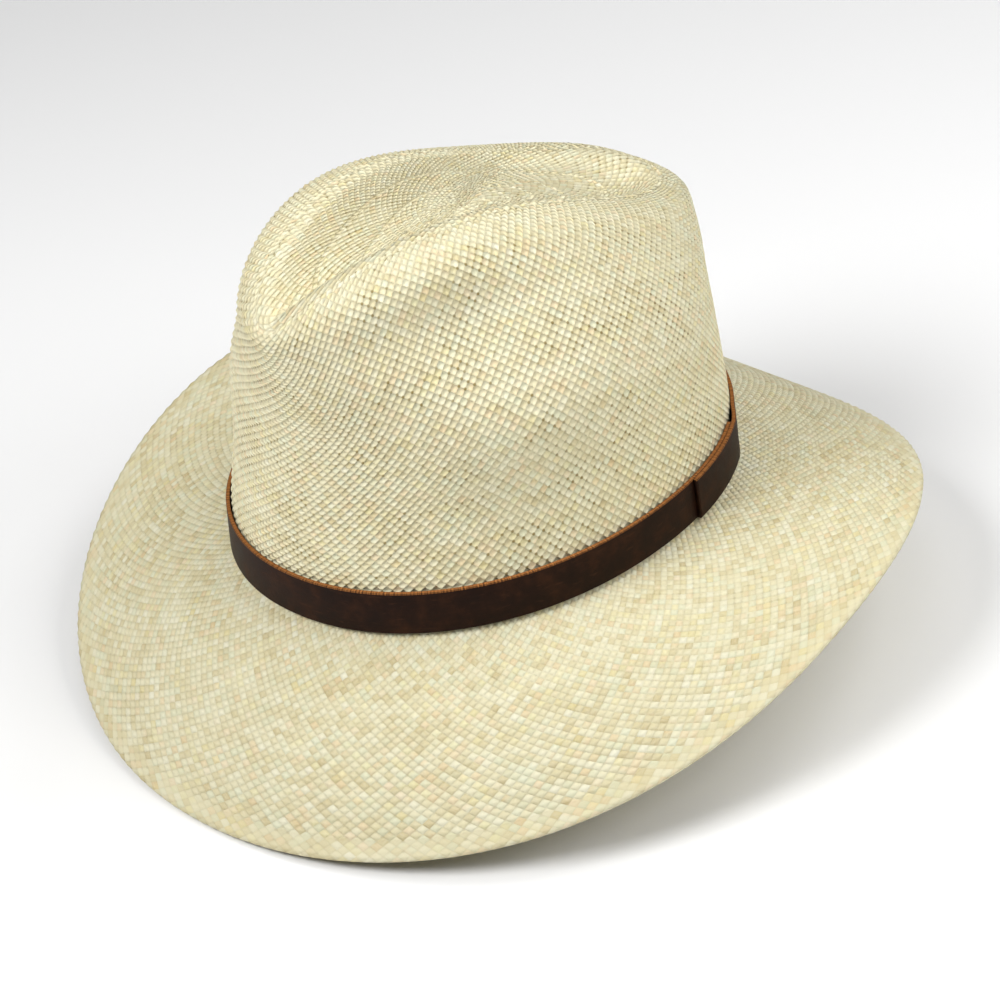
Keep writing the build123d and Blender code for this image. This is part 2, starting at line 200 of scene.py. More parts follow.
class Skin:
    """A smooth skin through the rings; rows at equal steps, points at equal shares of each row."""

    def __init__(self, rings, breaks, angles=1440, samples=400):
        a = pi / 2 + 2 * pi * np.arange(angles) / angles
        knots = np.stack([r(a) for r in rings])
        chord = np.linalg.norm(np.diff(knots, axis=0), axis=-1)[..., None] + 1e-6
        slope = np.diff(knots, axis=0) / chord
        bend = np.concatenate([
            slope[:1],
            (slope[:-1] * chord[1:] + slope[1:] * chord[:-1]) / (chord[1:] + chord[:-1]),
            slope[-1:],
        ])
        u = np.linspace(0, 1, 24, endpoint=False)[:, None, None]
        runs, lengths = [], []
        for start, stop in zip(breaks, breaks[1:]):
            dense = []
            for k in range(start, stop):
                m0, m1 = bend[k] * chord[k], bend[k + 1] * chord[k]
                dense.append((2 * u ** 3 - 3 * u ** 2 + 1) * knots[k] + (u ** 3 - 2 * u ** 2 + u) * m0
                             + (3 * u ** 2 - 2 * u ** 3) * knots[k + 1] + (u ** 3 - u ** 2) * m1)
            dense = np.concatenate(dense + [knots[stop:stop + 1]])
            gone = np.cumsum(np.linalg.norm(np.diff(dense, axis=0), axis=-1), axis=0)
            gone = np.concatenate([np.zeros((1, angles)), gone])
            even = np.linspace(0, 1, samples)
            run = np.empty((samples, angles, 3))
            for i in range(angles):
                for axis in range(3):
                    run[:, i, axis] = np.interp(even * gone[-1, i], gone[:, i], dense[:, i, axis])
            runs.append(run if not runs else run[1:])
            lengths.append(gone[-1].mean())
        grid = np.concatenate(runs)
        down = np.gradient(grid, axis=0)
        around = np.roll(grid, -1, 1) - np.roll(grid, 1, 1)
        out = np.cross(down, around)
        self.normals = out / (np.linalg.norm(out, axis=-1)[..., None] + 1e-9)
        self.grid = grid
        self.loops = np.concatenate([np.zeros((len(grid), 1)), np.cumsum(
            np.linalg.norm(np.roll(grid, -1, 1) - grid, axis=-1), axis=1)], axis=1)
        self.length = sum(lengths)
        marks = np.concatenate([[0], np.cumsum(lengths)])
        self.way = np.concatenate([
            np.linspace(marks[k], marks[k + 1], samples)[min(k, 1):] for k in range(len(lengths))
        ])

    def girth(self, along):
        return np.interp(along, self.way, self.loops[:, -1])

    def row(self, along, shares):
        """Points and outward directions at shares of one turn, at a distance from the skin's start."""
        place = np.interp(along, self.way, np.arange(len(self.way)))
        k = min(int(place), len(self.way) - 2)
        t = place - k
        loop = self.loops[k] * (1 - t) + self.loops[k + 1] * t
        out = []
        for source in (self.grid, self.normals):
            ring = source[k] * (1 - t) + source[k + 1] * t
            ring = np.concatenate([ring, ring[:1]])
            out.append(np.stack([
                np.interp(np.mod(shares, 1.0) * loop[-1], loop, ring[:, axis]) for axis in range(3)
            ], -1))
        return out


ROW = 1.65            # rows of straw, from one crossing to the next, in millimetres
ZONE_STEP = 400.0     # keeps the lattice numbers of one zone apart from the next
JOIN_FLOAT = 2.8      # points of the two rows for each upright float between them
CAP_STRAW = 2.6       # width of a straw in the caps, in millimetres
CAP_AT = 2.5          # distance from the middle where the caps begin
CROWN_STRANDS, BRIM_STRANDS = 150, 200
OUTER_RELIEF = (-0.36, 0.24, 0.04)     # corner, middle of a float, unevenness
OUTER_RELIEF_BRIM = (-0.26, 0.17, 0.03)
INNER_RELIEF = (0.16, -0.14, 0.02)
# zone tags: the crown's count from 0, the rest are set here
BRIM_TAG, BRIM_EDGE_TAG, BRIM_FOOT_TAG, CROWN_FOOT_TAG, JOIN_TAG, CAP_TAG = 20, 37, 38, 39, 40, 60


class Weave:
    """A woven shell: strands cross on a diagonal lattice, over one and under one."""

    def __init__(self, skin):
        self.skin = skin
        self.verts, self.faces, self.uvs, self.places = [], [], [], []
        self.count = 0

    def zone(self, start, stop, strands, tag, relief, inside, turned):
        """Rows from start to stop with the same number of strands each way."""
        m = 2 * strands
        steps = max(1, round(abs(stop - start) / ROW))
        ways = np.linspace(start, stop, steps + 1)
        first = None
        for k, along in enumerate(ways):
            points, out = self.skin.row(along, np.arange(m) / m)
            middle = (np.arange(m) + k) % 2
            lift = np.where(middle == 1, relief[1], relief[0]) + rng.normal(0, relief[2], m)
            points = points + out * (lift - inside)[:, None]
            base = self.count
            self.verts.append(points * MM)
            self.count += m
            if first is None:
                first = base
            else:
                for i in range(m):
                    j = (i + 1) % m
                    above, below = base - m, base
                    corners = [above + i, below + i, below + j, above + j]
                    coords = [(i, k - 1), (i, k), (i + 1, k), (i + 1, k - 1)]
                    self.put(corners, coords, strands, tag, ways, turned)
        return first, self.count - m, strands, tag, (start, stop)

    def put(self, corners, coords, strands, tag, ways, turned):
        """One face, with its place in the lattice and on the piece."""
        p = [(a + b) / 2 for a, b in coords]
        q = [(a - b) / 2 for a, b in coords]
        wrap_p = (sum(p) / len(p) // strands) * strands
        wrap_q = (sum(q) / len(q) // strands) * strands
        shift = ZONE_STEP * tag
        uv = [(u - wrap_p + shift, v - wrap_q + shift) for u, v in zip(p, q)]
        place = [(a / (2 * strands), ways[b]) for a, b in coords]
        if turned:
            corners, uv, place = corners[::-1], uv[::-1], place[::-1]
        self.faces.append(tuple(corners))
        self.uvs.extend(uv)
        self.places.extend(place)

    def join(self, upper, lower, tag, ways, turned):
        """A single row of upright floats between two rows, where strands are added."""
        (base_a, m_a), (base_b, m_b) = upper, lower
        cells = 2 * round((m_a + m_b) / (2 * JOIN_FLOAT))
        i = j = 0
        while i < m_a or j < m_b:
            if j >= m_b or (i < m_a and (i + 1) / m_a <= (j + 1) / m_b):
                tri = ((i / m_a, 0, base_a + i),
                       (j / m_b, 1, base_b + j % m_b),
                       ((i + 1) / m_a, 0, base_a + (i + 1) % m_a))
                i += 1
            else:
                tri = ((i / m_a, 0, base_a + i % m_a),
                       (j / m_b, 1, base_b + j),
                       ((j + 1) / m_b, 1, base_b + (j + 1) % m_b))
                j += 1
            corners = [t[2] for t in tri]
            uv = [(t[0] * cells + ZONE_STEP * tag, t[1] * 0.98 + 0.01 + ZONE_STEP * tag) for t in tri]
            place = [(t[0], ways[t[1]]) for t in tri]
            if turned:
                corners, uv, place = corners[::-1], uv[::-1], place[::-1]
            self.faces.append(tuple(corners))
            self.uvs.extend(uv)
            self.places.extend(place)

    def cap(self, base, m, point, tag, turned):
        """Closes the middle of the crown with a fan that carries on the weave's colours."""
        tip = self.count
        self.verts.append(np.array([point]) * MM)
        self.count += 1
        flat = np.concatenate(self.verts)[:, :2] / MM / CAP_STRAW + ZONE_STEP * tag
        for i in range(m):
            corners = (base + i, base + (i + 1) % m, tip)
            corners = corners[::-1] if turned else corners
            self.faces.append(corners)
            self.uvs.extend([tuple(flat[c]) for c in corners])
            self.places.extend([(0.0, 0.0)] * 3)

    def piece(self, name):
        mesh = bpy.data.meshes.new(name)
        mesh.from_pydata(np.concatenate(self.verts).tolist(), [], self.faces)
        for layer_name, values in (("lattice", self.uvs), ("place", self.places)):
            layer = mesh.uv_layers.new(name=layer_name)
            layer.data.foreach_set("uv", np.array(values, dtype=np.float32).ravel())
        mesh.update()
        mesh.polygons.foreach_set("use_smooth", [True] * len(mesh.polygons))
        obj = bpy.data.objects.new(name, mesh)
        bpy.context.scene.collection.objects.link(obj)
        return obj


def weave_crown():
    """Outside and inside of the crown, joined at the break with the brim."""
    skin = Skin(CROWN_RINGS, (0, 5, 12))
    plan, along, strands = [], skin.length, CROWN_STRANDS
    while along > 3.0:
        stop = along
        while stop > 3.0 and skin.girth(stop) / strands > 3.15:
            stop -= ROW
        stop = max(stop, CAP_AT)
        plan.append((along, stop, strands))
        along = stop - 1.9
        strands = max(6, 2 * round(skin.girth(max(along, CAP_AT)) / 4.3 / 2))
    shell = Weave(skin)
    for inside, relief, turned in ((0.0, OUTER_RELIEF, False), (STRAW, INNER_RELIEF, True)):
        done = [shell.zone(a, b, n, z, relief, inside, turned) for z, (a, b, n) in enumerate(plan)]
        for one, two in zip(done, done[1:]):
            shell.join((one[1], 2 * one[2]), (two[0], 2 * two[2]), JOIN_TAG + two[3],
                       (one[4][1], two[4][0]), turned)
        last, points = done[-1][1], 2 * done[-1][2]
        ring = np.concatenate(shell.verts)[last:last + points] / MM
        shell.cap(last, points, ring.mean(0), CAP_TAG, not turned)
        if not turned:
            foot = done[0][0], 2 * done[0][2]
    shell.join(foot, (done[0][0], 2 * done[0][2]), CROWN_FOOT_TAG, (skin.length, skin.length), True)
    return shell.piece("woven_crown")


def weave_brim():
    """Top and underside of the brim, joined round the edge and at the break."""
    skin = Skin(BRIM_RINGS, (0, len(BRIM_RINGS) - 1))
    shell = Weave(skin)
    top = shell.zone(0.0, skin.length, BRIM_STRANDS, BRIM_TAG, OUTER_RELIEF_BRIM, 0.0, False)
    under = shell.zone(0.0, skin.length, BRIM_STRANDS, BRIM_TAG, INNER_RELIEF, STRAW, True)
    points = 2 * BRIM_STRANDS
    shell.join((top[1], points), (under[1], points), BRIM_EDGE_TAG, (skin.length, skin.length), False)
    shell.join((top[0], points), (under[0], points), BRIM_FOOT_TAG, (0.0, 0.0), True)
    return shell.piece("woven_brim")


# ---------------------------------------------------------------- finishes

class Sum:
    """A socket that takes part in arithmetic; each step adds one Math node."""

    def __init__(self, finish, socket):
        self.finish, self.socket = finish, socket

    def _math(self, operation, *others):
        values = {i: (o.socket if isinstance(o, Sum) else o) for i, o in enumerate((self,) + others)}
        return self.finish.add("ShaderNodeMath", {"operation": operation}, values)

    def __add__(self, o): return self._math("ADD", o)
    def __radd__(self, o): return self._math("ADD", o)
    def __sub__(self, o): return self._math("SUBTRACT", o)
    def __rsub__(self, o): return self.finish.number(o)._math("SUBTRACT", self)
    def __mul__(self, o): return self._math("MULTIPLY", o)
    def __rmul__(self, o): return self._math("MULTIPLY", o)
    def __truediv__(self, o): return self._math("DIVIDE", o)
    def __pow__(self, o): return self._math("POWER", o)
    def floor(self): return self._math("FLOOR")
    def fract(self): return self._math("FRACT")
    def absolute(self): return self._math("ABSOLUTE")
    def sine(self): return self._math("SINE")
    def over(self, o): return self._math("GREATER_THAN", o)
    def least(self, o): return self._math("MINIMUM", o)
    def most(self, o): return self._math("MAXIMUM", o)

    def span(self, low, high, to_low=0.0, to_high=1.0):
        """Smooth step from low to high."""
        return self.finish.add("ShaderNodeMapRange", {"interpolation_type": "SMOOTHSTEP", "clamp": True},
                               {0: self.socket, 1: low, 2: high, 3: to_low, 4: to_high})


class Finish:
    """A material and the few ways its nodes are added."""

    def __init__(self, name, roughness=0.6, specular=0.5, **constants):
        self.material = bpy.data.materials.new(name)
        self.material.use_nodes = True
        self.nodes = self.material.node_tree.nodes
        self.links = self.material.node_tree.links
        self.shader = self.nodes["Principled BSDF"]
        self.shader.inputs["Roughness"].default_value = roughness
        self.shader.inputs["Specular IOR Level"].default_value = specular
        for key, value in constants.items():
            self.shader.inputs[key.replace("_", " ")].default_value = value

    def add(self, kind, settings=None, values=None, output=0):
        node = self.nodes.new(kind)
        for key, value in (settings or {}).items():
            setattr(node, key, value)
        for key, value in (values or {}).items():
            if isinstance(value, Sum):
                value = value.socket
            if isinstance(value, bpy.types.NodeSocket):
                self.links.new(value, node.inputs[key])
            else:
                node.inputs[key].default_value = value
        return Sum(self, node.outputs[output])

    def number(self, value):
        return self.add("ShaderNodeMath", {"operation": "ADD"}, {0: value, 1: 0.0})

    def parts(self, vector):
        node = self.nodes.new("ShaderNodeSeparateXYZ")
        self.links.new(vector.socket, node.inputs[0])
        return [Sum(self, node.outputs[i]) for i in range(3)]

    def vector(self, x, y, z=0.0):
        return self.add("ShaderNodeCombineXYZ", values={0: x, 1: y, 2: z})

    def noise(self, place, scale, detail=2.0, roughness=0.5):
        return self.add("ShaderNodeTexNoise", {"noise_dimensions": "3D"},
                        {"Vector": place, "Scale": scale, "Detail": detail, "Roughness": roughness})

    def chance(self, place):
        """An even random number for each whole place."""
        return self.add("ShaderNodeTexWhiteNoise", {"noise_dimensions": "2D"}, {"Vector": place})

    def mix(self, share, first, second, blend="MIX"):
        node = self.nodes.new("ShaderNodeMix")
        node.data_type, node.blend_type = "RGBA", blend
        for key, value in ((0, share), (6, first), (7, second)):
            value = value.socket if isinstance(value, Sum) else value
            if isinstance(value, bpy.types.NodeSocket):
                self.links.new(value, node.inputs[key])
            else:
                node.inputs[key].default_value = value
        return Sum(self, node.outputs[2])

    def ramp(self, value, *stops):
        node = self.nodes.new("ShaderNodeValToRGB")
        ramp = node.color_ramp
        while len(ramp.elements) < len(stops):
            ramp.elements.new(0.5)
        for element, (place, colour) in zip(ramp.elements, stops):
            element.position, element.color = place, colour
        self.links.new(value.socket, node.inputs[0])
        return Sum(self, node.outputs[0])

    def bump(self, height, distance, strength=1.0):
        values = {"Height": height, "Distance": distance, "Strength": strength}
        return self.add("ShaderNodeBump", values=values)

    def wear(self, **inputs):
        for key, value in inputs.items():
            self.links.new(value.socket, self.shader.inputs[key.replace("_", " ")])
        return self.material


def colour(r, g, b):
    return (r, g, b, 1.0)


def straw_finish(name, soft, edge_at):
    """Palm straw: short lengths of warm, pale and green tints, fibres, painted shade in the pin holes where
    four strands meet and between the strands.

    soft is 0 for the plain firm weave and 1 for a weave made smooth by pressing; edge_at is where the
    outer edge smoothed by pressing begins, in millimetres along the piece; from there the straw also gets
    painted shade for the brim's edge turning under.
    """
    f = Finish(name, roughness=0.55, specular=0.25)
    u, v, _ = f.parts(f.add("ShaderNodeUVMap", {"uv_map": "lattice"}))
    turn, away, _ = f.parts(f.add("ShaderNodeUVMap", {"uv_map": "place"}))
    fu, fv = u.fract(), v.fract()
    iu, iv = u.floor(), v.floor()
    over = ((iu + iv) * 0.5).fract().over(0.25)
    under = 1.0 - over
    along = fu * over + fv * under
    across = fv * over + fu * under
    far = u * over + v * under
    strand = iv * over + (iu + 0.5) * under
    tint = f.chance(f.vector(strand, over))
    slow = f.noise(f.vector(strand * 7.31, far * 0.10, over * 50.0), 1.0, 1.0)
    cell = f.chance(f.vector(iu, iv))
    shade = tint * 0.30 + slow * 0.60 + cell * (0.34 + 0.20 * soft) - 0.14 - 0.08 * soft
    straw = f.ramp(
        shade,
        (0.00, colour(0.60, 0.49, 0.25)),
        (0.22, colour(0.70, 0.61, 0.35)),
        (0.45, colour(0.78, 0.71, 0.45)),
        (0.70, colour(0.83, 0.78, 0.54)),
        (1.00, colour(0.88, 0.85, 0.66)),
    )
    lengths = f.vector(strand * 5.17 + 40.0, far * 0.19, over * 31.0)
    peach = f.noise(lengths, 1.0, 1.0).span(0.56, 0.68)
    straw = f.mix(peach * 0.50, straw, colour(0.84, 0.62, 0.35))
    pale = f.noise(f.vector(strand * 9.41, far * 0.16, over * 13.0 + 5.0), 1.0, 1.0).span(0.55, 0.66)
    straw = f.mix(pale * 0.55, straw, colour(0.74, 0.77, 0.55))
    sun = f.noise(f.vector(strand * 3.3 + 9.0, far * 0.13, over * 23.0 + 1.0), 1.0, 1.0).span(0.58, 0.68)
    straw = f.mix(sun * 0.45, straw, colour(0.86, 0.76, 0.36))
    fibre = f.noise(f.vector(across * 9.0 + strand * 3.7, far * 0.9, over * 9.0), 1.0, 3.0, 0.6)
    straw = f.mix(fibre.span(0.35, 0.75) * 0.24, straw, colour(0.93, 0.90, 0.74))
    edge = (across - 0.5).absolute() * 2.0
    end = (along - 0.5).absolute() * 2.0
    cu, cv = ((u + 0.5).fract() - 0.5).absolute(), ((v + 0.5).fract() - 0.5).absolute()
    reach = (cu * cu + cv * cv) ** 0.5
    luck = f.chance(f.vector((u + 0.5).floor() + 0.25, (v + 0.5).floor() + 0.75))
    patch = f.noise(f.vector(u * 0.11, v * 0.11), 1.0, 2.0).span(0.40, 0.66)
    # painted shade: the pin holes where four strands meet and the sides and ends of each float are darkened
    # towards an olive brown, standing in for the shade between the strands
    hole_shade_strength = (luck * 0.75 + patch * 0.50 - 0.30).span(0.0, 0.85)
    hole_shade = (0.36 - reach).span(0.04, 0.24) * (0.10 + 0.80 * hole_shade_strength)
    gap_shade = edge.span(0.45, 1.0) * 0.13 + end.span(0.55, 1.0) * 0.11
    straw_painted_shade = (gap_shade * (1.0 - 0.55 * soft) + hole_shade * (0.92 - 0.62 * soft)).least(1.0)
    straw = f.mix(straw_painted_shade, straw, colour(0.30, 0.23, 0.085))
    fleck = f.noise(f.vector(far * 0.8, across * 2.0 + strand * 5.1, over * 3.0), 1.0, 2.0).span(0.74, 0.80)
    straw = f.mix(fleck * (0.55 - 0.25 * soft), straw, colour(0.42, 0.27, 0.10))
    arcs = f.noise(f.vector(turn * 5.0, away * 0.16), 1.0, 2.0)
    straw = f.mix(arcs.span(0.42, 0.66) * 0.20, straw, colour(0.93, 0.90, 0.68))
    # painted shade: from edge_at outwards the straw is darkened, standing in for the shade where the brim's
    # edge turns under; the same mask also softens the bump where the edge is smoothed by pressing
    pressed_and_shaded_edge = away.span(edge_at, edge_at + 1.2)
    straw = f.mix(pressed_and_shaded_edge * 0.16, straw, colour(0.62, 0.52, 0.28))
    # painted light and shade: the same straw is made brighter on the crown (soft 0) and darker on the brim
    # (soft 1), set for how the light falls on each piece
    straw = f.mix(1.0, straw, colour(*[1.11 - 0.21 * soft] * 3), "MULTIPLY")
    rise = (1.0 - edge * edge) * (1.0 - 0.85 * end * end)
    bump = f.bump(rise * (1.0 - pressed_and_shaded_edge * 0.6) + fibre * 0.14, 0.00075 - 0.00025 * soft, 1.0)
    return f.wear(Base_Color=straw, Normal=bump, Roughness=0.46 + fibre * 0.22)


def band_leather_finish():
    """Dark brown smooth leather; the cut edges are raw and tan."""
    f = Finish("dark_band_leather", roughness=0.5, specular=0.12)
    place = f.add("ShaderNodeUVMap", {"uv_map": "strap"})
    length, height, _ = f.parts(place)
    flat = f.vector(length, height)
    cloud = f.noise(flat, 0.11, 4.0, 0.6)
    grain = f.add("ShaderNodeTexVoronoi", {"feature": "F1"}, {"Vector": flat, "Scale": 2.6})
    skin = f.ramp(
        cloud,
        (0.25, colour(0.0080, 0.0024, 0.0009)),
        (0.50, colour(0.0170, 0.0052, 0.0019)),
        (0.72, colour(0.0360, 0.0118, 0.0040)),
    )
    rub = f.noise(f.vector(length * 0.25, height * 1.2), 0.6, 3.0).span(0.58, 0.75)
    skin = f.mix(rub * 0.35, skin, colour(0.065, 0.024, 0.009))
    fray = f.noise(f.vector(length, 0.0), 1.5, 3.0)
    raw = (height + (fray - 0.5) * 0.7).span(16.75, 17.05)
    raw = raw.most((-0.05 - height + (fray - 0.5) * 0.5).span(0.0, 0.3))
    edge = f.mix(fray.span(0.35, 0.65), colour(0.20, 0.068, 0.018), colour(0.40, 0.165, 0.048))
    skin = f.mix(raw, skin, edge)
    bump = f.bump(grain * -0.6 + cloud, 0.00012, 0.7)
    return f.wear(Base_Color=skin, Normal=bump, Roughness=0.42 + cloud * 0.22 + raw * 0.3)


def soft_leather_finish(name, deep, light):
    """Soft tan leather with a fine grain."""
    f = Finish(name, roughness=0.5, specular=0.4)
    place = f.add("ShaderNodeTexCoord", output=3)
    cloud = f.noise(place, 60.0, 4.0)
    grain = f.add("ShaderNodeTexVoronoi", {"feature": "F1"}, {"Vector": place, "Scale": 1100.0})
    skin = f.mix(cloud.span(0.3, 0.7), colour(*deep), colour(*light))
    skin = f.mix(grain.span(0.0, 0.5, 0.25, 0.0), skin, colour(deep[0] * 0.5, deep[1] * 0.5, deep[2] * 0.5))
    return f.wear(Base_Color=skin, Normal=f.bump(grain, 0.00015, 0.6), Roughness=0.42 + cloud * 0.2)


def thread_finish(name, deep, light):
    """Twisted thread."""
    f = Finish(name, roughness=0.7, specular=0.3)
    place = f.add("ShaderNodeTexCoord", output=3)
    x, y, z = f.parts(place)
    twist = ((x + y + z * 1.4) * 5200.0).sine() * 0.5 + 0.5
    fuzz = f.noise(place, 900.0, 3.0)
    return f.wear(Base_Color=f.mix(twist * 0.6 + fuzz * 0.4, colour(*deep), colour(*light)),
                  Normal=f.bump(twist + fuzz * 0.4, 0.0001, 0.8))


def ribbon_finish(name, deep, light, ribs=3600.0):
    """Ribbed ribbon: fine cross ribs."""
    f = Finish(name, roughness=0.55, specular=0.35)
    place = f.add("ShaderNodeUVMap", {"uv_map": "ribbon"})
    u, v, _ = f.parts(place)
    rib = (u * ribs).sine() * 0.5 + 0.5
    cross = (v * ribs * 1.7).sine() * 0.5 + 0.5
    fuzz = f.noise(place, 500.0, 2.0)
    return f.wear(Base_Color=f.mix(rib * 0.7 + fuzz * 0.3, colour(*deep), colour(*light)),
                  Normal=f.bump(rib + cross * 0.3, 0.00015, 0.8))


# ---------------------------------------------------------------- leather strap, sweatband, bow, label

def sweep(name, sections, closed, uv_name, uv_of):
    """A tube of sections; uv_of(section, corner) gives its place on the leather or ribbon."""
    sections = np.array(sections)
    rows, m = sections.shape[:2]
    faces, uvs = [], []
    for k in range(rows if closed else rows - 1):
        for i in range(m):
            j = (i + 1) % m
            n = (k + 1) % rows
            faces.append((k * m + i, n * m + i, n * m + j, k * m + j))
            uvs += [uv_of(k, i), uv_of(k + 1, i), uv_of(k + 1, i + 1), uv_of(k, i + 1)]
    if not closed:
        faces.append(tuple(range(m)))
        uvs += [uv_of(0, i) for i in range(m)]
        faces.append(tuple((rows - 1) * m + i for i in reversed(range(m))))
        uvs += [uv_of(rows, i) for i in reversed(range(m))]
    mesh = bpy.data.meshes.new(name)
    mesh.from_pydata((sections.reshape(-1, 3) * MM).tolist(), [], faces)
    layer = mesh.uv_layers.new(name=uv_name)
    layer.data.foreach_set("uv", np.array(uvs, dtype=np.float32).ravel())
    mesh.update()
    mesh.polygons.foreach_set("use_smooth", [True] * len(mesh.polygons))
    obj = bpy.data.objects.new(name, mesh)
    bpy.context.scene.collection.objects.link(obj)
    return obj


def rounded_section(thick, high, corner, steps=4):
    """Outline of a strap's section as (out, height) corners, inside face first."""
    out = []
    for cx, cz, start in ((corner, corner, pi), (thick - corner, corner, 1.5 * pi),
                          (thick - corner, high - corner, 0.0), (corner, high - corner, 0.5 * pi)):
        for i in range(steps + 1):
            a = start + 0.5 * pi * i / steps
            out.append((cx + corner * cos(a), cz + corner * sin(a)))
    return out


def fix_outside(obj):
    """Turns all faces of a closed piece outwards."""
    bpy.ops.object.select_all(action="DESELECT")
    bpy.context.view_layer.objects.active = obj
    obj.select_set(True)
    bpy.ops.object.mode_set(mode="EDIT")
    bpy.ops.mesh.select_all(action="SELECT")
    bpy.ops.mesh.normals_make_consistent(inside=False)
    bpy.ops.object.mode_set(mode="OBJECT")
    obj.select_set(False)


def leather_strap():
    """The hat band: one strap whose cut end laps over its start on the wearer's left."""
    section = rounded_section(BAND_LEATHER, BAND_HEIGHT, 0.35)
    whole = 2 * pi + LAP_SPAN
    count = 620
    sections, lengths, gone, last = [], [], 0.0, None
    for k in range(count + 1):
        turn = whole * k / count
        a = LAP_CUT + LAP_SPAN - turn
        rise = 1.0 - min(max((whole - turn - LAP_SPAN) / LAP_EASE, 0.0), 1.0)
        rise = rise * rise * (3 - 2 * rise)
        lift = rise * (BAND_LEATHER + 0.12) * 0.94
        row = []
        for out, height in section:
            lean = (BAND_LEAN - BAND_LEAN_FRONT * sin(a)) * height / BAND_HEIGHT
            row.append(off_wall(np.array(a), BAND_GAP + out + lift - lean, BAND_FOOT + height))
        row = np.array(row)
        here = row.mean(0)
        gone += 0 if last is None else float(np.linalg.norm(here - last))
        last = here
        lengths.append(gone)
        sections.append(row)
    lengths.append(gone)
    m = len(section)

    def place(k, i):
        top_edge = 0.4 if 8 < i % m < 11 else 0.0
        return lengths[min(k, len(lengths) - 1)], section[i % m][1] + top_edge

    piece = sweep("leather_hat_band", sections, False, "strap", place)
    fix_outside(piece)
    return piece


def sweatband_face(a, share):
    """Distance of the sweatband's straw side from the foot of the wall, at a share of its height."""
    return -STRAW - SWEATBAND_GAP - (SWEATBAND_LEAN - SWEATBAND_LEAN_FRONT * sin(a)) * share


def sweatband_piece():
    """Soft leather strip with a rounded, slightly wavy free edge, standing over the reed."""
    outline = rounded_section(SWEATBAND_LEATHER, SWEATBAND_HEIGHT, 0.45)
    count = 420
    sections, lengths, gone, last = [], [], 0.0, None
    for k in range(count):
        a = 0.5 * pi + 2 * pi * k / count
        row = []
        for out, height in outline:
            share = height / SWEATBAND_HEIGHT
            wave = (0.25 * sin(9 * a) + 0.2 * sin(4 * a + 1)) * share ** 3
            row.append(off_wall(np.array(a), sweatband_face(a, share) - wave - out, SWEATBAND_FOOT + height))
        row = np.array(row)
        here = row.mean(0)
        gone += 0 if last is None else float(np.linalg.norm(here - last))
        last = here
        lengths.append(gone)
        sections.append(row)
    lengths.append(gone + (gone / (count - 1)))
    m = len(outline)
    piece = sweep("sweatband_leather", sections, True, "strap",
                  lambda k, i: (lengths[k], outline[i % m][1]))
    fix_outside(piece)
    return piece


def ribbon_strip(name, path, width, thick, up=Vector((0, 0, 1))):
    """A flat ribbon along a path of points, standing on its edge."""
    sections, lengths, gone = [], [0.0], 0.0
    points = [Vector(p) for p in path]
    for k, p in enumerate(points):
        ahead = points[min(k + 1, len(points) - 1)] - points[max(k - 1, 0)]
        side = ahead.cross(up).normalized()
        row = []
        for s, h in ((-1, -1), (1, -1), (1, 1), (-1, 1)):
            row.append(p + side * (s * thick / 2) + up * (h * width[k] / 2))
        sections.append([tuple(r) for r in row])
        if k:
            gone += (p - points[k - 1]).length
            lengths.append(gone)
    lengths.append(gone)
    corner = (0.0, 0.0, 1.0, 1.0)
    piece = sweep(name, sections, False, "ribbon",
                  lambda k, i: (lengths[min(k, len(lengths) - 1)] * MM, corner[i % 4] * 10 * MM))
    fix_outside(piece)
    return piece


def bow():
    """Small bow: two flat loops and a knot."""
    low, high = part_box("sweatband_bow")
    y_wall, y_front = high[1] / MM, low[1] / MM
    z = (low[2] + high[2]) / 2 / MM
    mid = (y_wall + y_front) / 2
    pieces = []
    for side in (-1, 1):
        path, width = [], []
        for i in range(33):
            t = i / 32
            a = 2 * pi * t
            x = side * (0.8 + 11.8 * sin(pi * t))
            y = mid + 0.75 * sin(a)
            path.append((x, y, z + 0.5 * sin(pi * t)))
            width.append(3.6 + 4.8 * sin(pi * t) ** 0.8)
        name = "bow_loop_left" if side > 0 else "bow_loop_right"
        pieces.append(ribbon_strip(name, path, width, 0.35))
    path, width = [], []
    for i in range(25):
        a = 2 * pi * i / 24
        path.append((2.1 * cos(a), mid + 1.05 * sin(a), z))
        width.append(4.4)
    pieces.append(ribbon_strip("bow_knot", path, width, 0.3))
    return pieces


